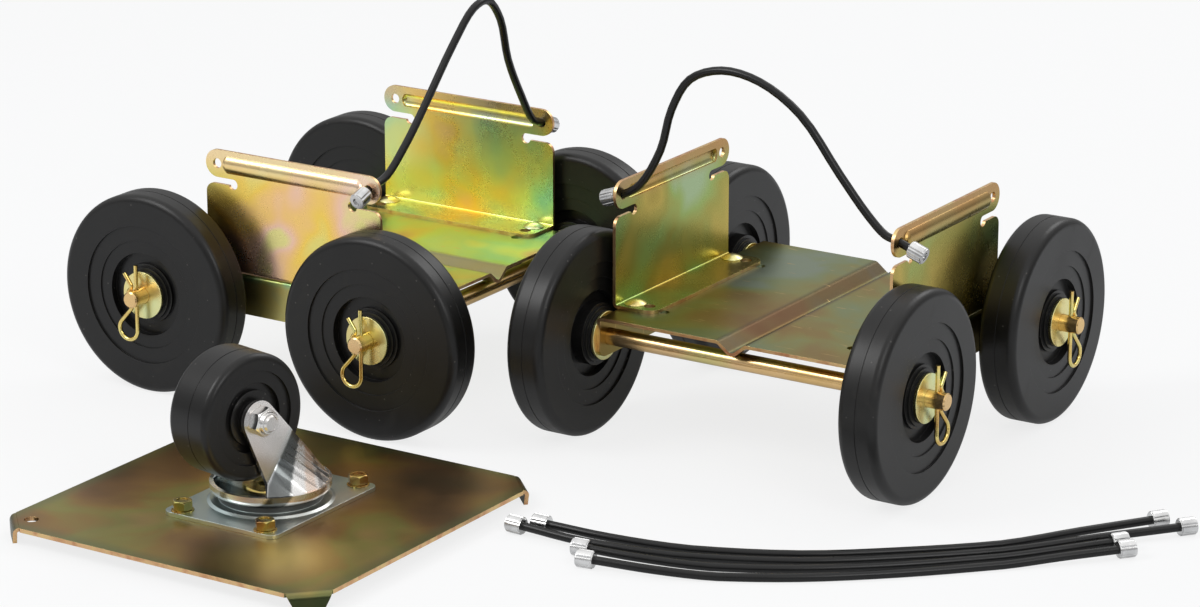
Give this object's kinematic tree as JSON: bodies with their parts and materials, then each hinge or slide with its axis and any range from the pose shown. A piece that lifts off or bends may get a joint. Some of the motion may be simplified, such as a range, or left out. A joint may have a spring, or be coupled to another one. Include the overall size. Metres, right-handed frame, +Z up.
{
  "type": "steerable dolly",
  "caption": "Low deck dollies on solid wheels with raised side brackets and elastic strap cords, and a square pad on a swivel caster.",
  "frame": {"origin": "on the floor, at the centre of the box around the three units without the spare cords", "axes": "+Z up; +X along the right dolly's axles, away from the left dolly; +Y along the right dolly's deck, away from the pad"},
  "size_m": [0.8695, 0.6878, 0.2903],
  "materials": {
    "plated_deck": "yellow passivated zinc, satin",
    "plated_bracket": "bright yellow passivated zinc",
    "plated_fastener": "yellow passivated zinc",
    "plated_axle": "yellow passivated zinc, satin",
    "plated_washer": "pale yellow passivated zinc",
    "bright_zinc": "bright zinc plate",
    "wheel_rubber": "moulded black rubber, soft sheen",
    "cord_rubber": "black elastic cord",
    "ferrule_metal": "bright crimped metal"
  },
  "bodies": {
    "set_frame": {"left_deck": "plated_deck", "left_bracket_1": "plated_bracket", "left_bracket_2": "plated_bracket", "left_bracket_bolts": "plated_fastener", "left_bracket_nuts": "plated_fastener", "left_axle_1": "plated_axle", "left_axle_2": "plated_axle", "left_inner_washers": "plated_washer", "left_outer_washers": "plated_washer", "left_hitch_clips": "plated_fastener", "left_cord": "cord_rubber", "left_cord_ferrules": "ferrule_metal", "right_deck": "plated_deck", "right_bracket_1": "plated_bracket", "right_bracket_2": "plated_bracket", "right_bracket_bolts": "plated_fastener", "right_bracket_nuts": "plated_fastener", "right_axle_1": "plated_axle", "right_axle_2": "plated_axle", "right_inner_washers": "plated_washer", "right_outer_washers": "plated_washer", "right_hitch_clips": "plated_fastener", "right_cord": "cord_rubber", "right_cord_ferrules": "ferrule_metal", "pad_plate": "plated_deck", "pad_tabs": "plated_deck", "caster_plate": "bright_zinc", "caster_plate_bolts": "plated_fastener", "caster_plate_nuts": "plated_fastener", "caster_balls": "bright_zinc", "caster_kingpin": "plated_washer", "spare_cord_1": "cord_rubber", "spare_cord_2": "cord_rubber", "spare_cord_3": "cord_rubber", "spare_cord_4": "cord_rubber", "spare_ferrules": "ferrule_metal"},
    "left_wheel_1_body": {"left_wheel_1": "wheel_rubber", "left_sleeve_1": "bright_zinc"},
    "left_wheel_2_body": {"left_wheel_2": "wheel_rubber", "left_sleeve_2": "bright_zinc"},
    "left_wheel_3_body": {"left_wheel_3": "wheel_rubber", "left_sleeve_3": "bright_zinc"},
    "left_wheel_4_body": {"left_wheel_4": "wheel_rubber", "left_sleeve_4": "bright_zinc"},
    "right_wheel_1_body": {"right_wheel_1": "wheel_rubber", "right_sleeve_1": "bright_zinc"},
    "right_wheel_2_body": {"right_wheel_2": "wheel_rubber", "right_sleeve_2": "bright_zinc"},
    "right_wheel_3_body": {"right_wheel_3": "wheel_rubber", "right_sleeve_3": "bright_zinc"},
    "right_wheel_4_body": {"right_wheel_4": "wheel_rubber", "right_sleeve_4": "bright_zinc"},
    "caster_fork_body": {"caster_fork": "bright_zinc", "caster_sleeve": "bright_zinc", "caster_axle_bolt": "bright_zinc", "caster_axle_nut": "bright_zinc"},
    "caster_wheel_body": {"caster_wheel": "wheel_rubber"}
  },
  "joints": [
    {"name": "left_wheel_1_spin", "type": "hinge", "parent": "set_frame", "child": "left_wheel_1_body", "pos_m": [-0.0675, 0.2434, 0.0762], "axis": [0, 1, 0], "continuous": true},
    {"name": "left_wheel_2_spin", "type": "hinge", "parent": "set_frame", "child": "left_wheel_2_body", "pos_m": [-0.0675, -0.0266, 0.0762], "axis": [0, 1, 0], "continuous": true},
    {"name": "left_wheel_3_spin", "type": "hinge", "parent": "set_frame", "child": "left_wheel_3_body", "pos_m": [-0.2725, 0.2434, 0.0762], "axis": [0, 1, 0], "continuous": true},
    {"name": "left_wheel_4_spin", "type": "hinge", "parent": "set_frame", "child": "left_wheel_4_body", "pos_m": [-0.2725, -0.0266, 0.0762], "axis": [0, 1, 0], "continuous": true},
    {"name": "right_wheel_1_spin", "type": "hinge", "parent": "set_frame", "child": "right_wheel_1_body", "pos_m": [0.3177, 0.0619, 0.0762], "axis": [1, 0, 0], "continuous": true},
    {"name": "right_wheel_2_spin", "type": "hinge", "parent": "set_frame", "child": "right_wheel_2_body", "pos_m": [0.0477, 0.0619, 0.0762], "axis": [1, 0, 0], "continuous": true},
    {"name": "right_wheel_3_spin", "type": "hinge", "parent": "set_frame", "child": "right_wheel_3_body", "pos_m": [0.3177, 0.2669, 0.0762], "axis": [1, 0, 0], "continuous": true},
    {"name": "right_wheel_4_spin", "type": "hinge", "parent": "set_frame", "child": "right_wheel_4_body", "pos_m": [0.0477, 0.2669, 0.0762], "axis": [1, 0, 0], "continuous": true},
    {"name": "caster_swivel", "type": "hinge", "parent": "set_frame", "child": "caster_fork_body", "pos_m": [-0.0283, -0.2096, 0.02], "axis": [0, 0, 1], "continuous": true},
    {"name": "caster_spin", "type": "hinge", "parent": "caster_fork_body", "child": "caster_wheel_body", "pos_m": [-0.03392, -0.23907, 0.085], "axis": [0.9823, -0.1874, 0], "continuous": true}
  ]
}
